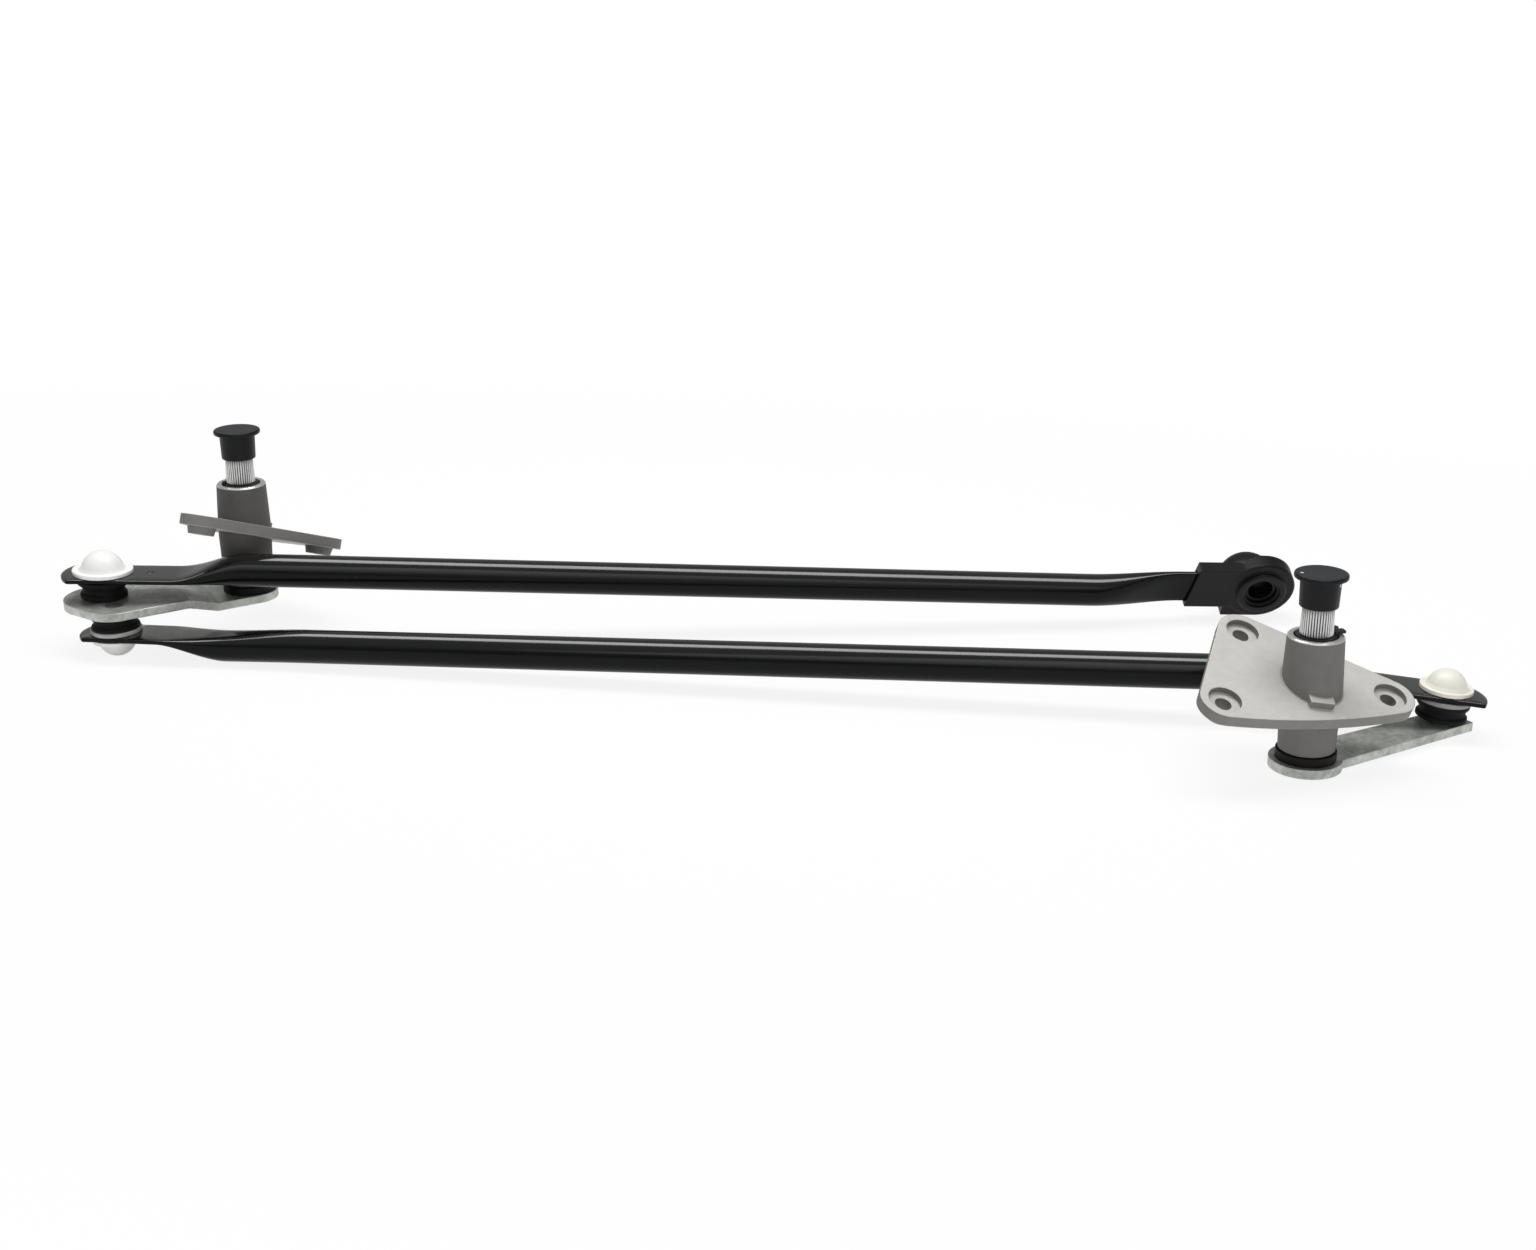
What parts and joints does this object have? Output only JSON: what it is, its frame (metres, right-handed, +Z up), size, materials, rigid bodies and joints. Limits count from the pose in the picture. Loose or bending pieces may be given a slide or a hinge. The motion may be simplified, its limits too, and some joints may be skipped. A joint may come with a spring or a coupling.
{
  "type": "wiper linkage",
  "caption": "Windscreen wiper linkage: tilted pivot housings with knurled shafts and crank levers, linked through ball joints by long tube rods, with an open joint for the motor crank.",
  "frame": {"origin": "centre of the box on the table it lies on", "axes": "+Z up along both pivot shafts, +X from the left pivot to the right one, +Y away from the side the picture is taken from"},
  "size_m": [0.651, 0.2747, 0.1016],
  "materials": {
    "cast_aluminium": "matte as-cast",
    "bush_bronze": "plain bearing",
    "seal_rubber": "matte",
    "shaft_steel": "turned and plated",
    "clip_steel": "phosphated black",
    "ring_plastic": "matte black",
    "cap_plastic": "matte black",
    "lever_steel": "zinc plated",
    "stud_steel": "ground",
    "rod_paint": "gloss black",
    "socket_nylon": "satin off-white nylon",
    "boot_rubber": "matte black",
    "cover_plastic": "matte black moulding"
  },
  "bodies": {
    "left_housing_body": {"left_pivot_housing": "cast_aluminium", "left_bushes": "bush_bronze", "left_seal": "seal_rubber"},
    "left_crank_body": {"left_shaft": "shaft_steel", "left_clip": "clip_steel", "left_thrust_ring": "ring_plastic", "left_lever": "lever_steel", "left_upper_stud": "stud_steel", "left_lower_stud": "stud_steel"},
    "left_cap_body": {"left_cap": "cap_plastic"},
    "upper_rod_body": {"upper_rod": "rod_paint", "upper_socket": "socket_nylon", "upper_boot": "boot_rubber", "motor_cover": "cover_plastic", "motor_seat": "socket_nylon"},
    "lower_rod_body": {"lower_rod": "rod_paint", "lower_left_socket": "socket_nylon", "lower_left_boot": "boot_rubber", "lower_right_socket": "socket_nylon", "lower_right_boot": "boot_rubber"},
    "right_crank_body": {"right_shaft": "shaft_steel", "right_clip": "clip_steel", "right_thrust_ring": "ring_plastic", "right_lever": "lever_steel", "right_stud": "stud_steel"},
    "right_housing_body": {"right_pivot_housing": "cast_aluminium", "right_bushes": "bush_bronze", "right_seal": "seal_rubber"},
    "right_cap_body": {"right_cap": "cap_plastic"}
  },
  "joints": [
    {"name": "left_shaft_turn", "type": "hinge", "parent": "left_housing_body", "child": "left_crank_body", "pos_m": [-0.2552, -0.0685, 0.0209], "axis": [0, 0, 1], "range_deg": [-50, 10]},
    {"name": "left_cap_pull", "type": "slide", "parent": "left_crank_body", "child": "left_cap_body", "axis": [0, 0, 1], "range_m": [0, 0.03]},
    {"name": "upper_rod_swing", "type": "hinge", "parent": "left_crank_body", "child": "upper_rod_body", "pos_m": [-0.30604, -0.11411, 0.0377], "axis": [0, 0, 1], "range_deg": [-9, 0]},
    {"name": "lower_rod_swing", "type": "hinge", "parent": "left_crank_body", "child": "lower_rod_body", "pos_m": [-0.29392, -0.12379, 0.00905], "axis": [0, 0, 1], "range_deg": [-25, 0]},
    {"name": "right_lever_swing", "type": "hinge", "parent": "lower_rod_body", "child": "right_crank_body", "pos_m": [0.30778, -0.00555, 0.0202], "axis": [0, 0, 1], "range_deg": [-10, 40]},
    {"name": "right_housing_turn", "type": "hinge", "parent": "right_crank_body", "child": "right_housing_body", "pos_m": [0.2568, -0.0685, 0.0057], "axis": [0, 0, 1], "range_deg": [-40, 30]},
    {"name": "right_cap_pull", "type": "slide", "parent": "right_crank_body", "child": "right_cap_body", "axis": [0, 0, 1], "range_m": [0, 0.03]}
  ]
}
